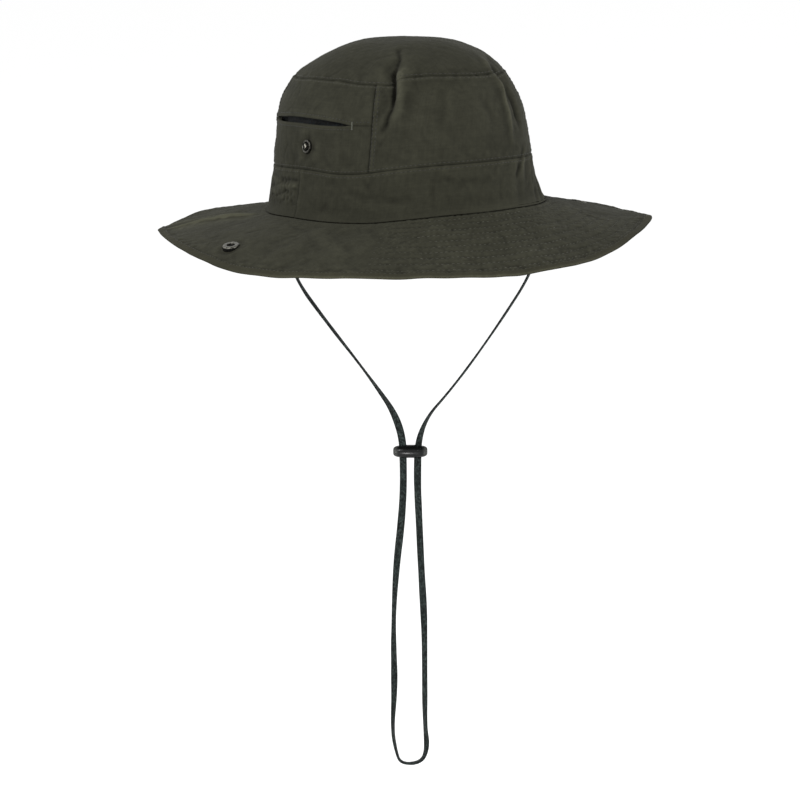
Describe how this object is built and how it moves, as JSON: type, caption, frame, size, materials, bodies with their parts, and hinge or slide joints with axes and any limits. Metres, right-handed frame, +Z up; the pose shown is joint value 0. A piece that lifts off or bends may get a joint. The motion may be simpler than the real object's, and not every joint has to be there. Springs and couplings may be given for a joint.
{
  "type": "bucket hat",
  "caption": "Wide-brimmed cloth bucket hat with a side pocket, brim sides that fold up and snap to the crown, and a flat chin cord with a sliding toggle.",
  "frame": {"origin": "centre of the head opening, in the plane where the crown meets the brim", "axes": "+Z up through the crown, the front of the hat faces -Y, the wearer's right ear is on the -X side"},
  "size_m": [0.308, 0.342, 0.4924],
  "materials": {
    "crown_cloth": "matt olive plain-weave nylon",
    "brim_cloth": "matt olive plain-weave nylon with stitch rows",
    "mesh": "dark open mesh",
    "sweatband_tape": "brushed woven tape",
    "interlining": "stiff non-woven",
    "snap_metal": "worn antique nickel",
    "cord": "flat braided cord",
    "toggle": "glossy black plastic"
  },
  "bodies": {
    "hat": {"crown_tip": "crown_cloth", "crown_front_panel": "crown_cloth", "crown_back_panel": "crown_cloth", "crown_left_panel": "crown_cloth", "pocket_yoke": "crown_cloth", "pocket_front": "crown_cloth", "band_front": "crown_cloth", "band_back": "crown_cloth", "pocket_mesh": "mesh", "sweatband": "sweatband_tape", "brim_top": "brim_cloth", "brim_interlining": "interlining", "brim_under": "brim_cloth", "crown_stud_right": "snap_metal", "crown_post_right": "snap_metal", "crown_stud_left": "snap_metal", "crown_post_left": "snap_metal", "chin_cord": "cord"},
    "right_wing": {"right_wing_top": "brim_cloth", "right_wing_interlining": "interlining", "right_wing_under": "brim_cloth", "brim_socket_right": "snap_metal", "brim_cap_right": "snap_metal"},
    "left_wing": {"left_wing_top": "brim_cloth", "left_wing_interlining": "interlining", "left_wing_under": "brim_cloth", "brim_socket_left": "snap_metal", "brim_cap_left": "snap_metal"},
    "toggle": {"cord_toggle": "toggle"}
  },
  "joints": [
    {"name": "right_brim_fold", "type": "hinge", "parent": "hat", "child": "right_wing", "pos_m": [-0.0915, 0, 0], "axis": [0, 1, 0], "range_deg": [0, 117.2]},
    {"name": "left_brim_fold", "type": "hinge", "parent": "hat", "child": "left_wing", "pos_m": [0.0915, 0, 0], "axis": [0, -1, 0], "range_deg": [0, 117.2]},
    {"name": "toggle_slide", "type": "slide", "parent": "hat", "child": "toggle", "axis": [0, 0.0611, -0.9981], "range_m": [-0.085, 0.17], "deforming": ["chin_cord"]}
  ]
}
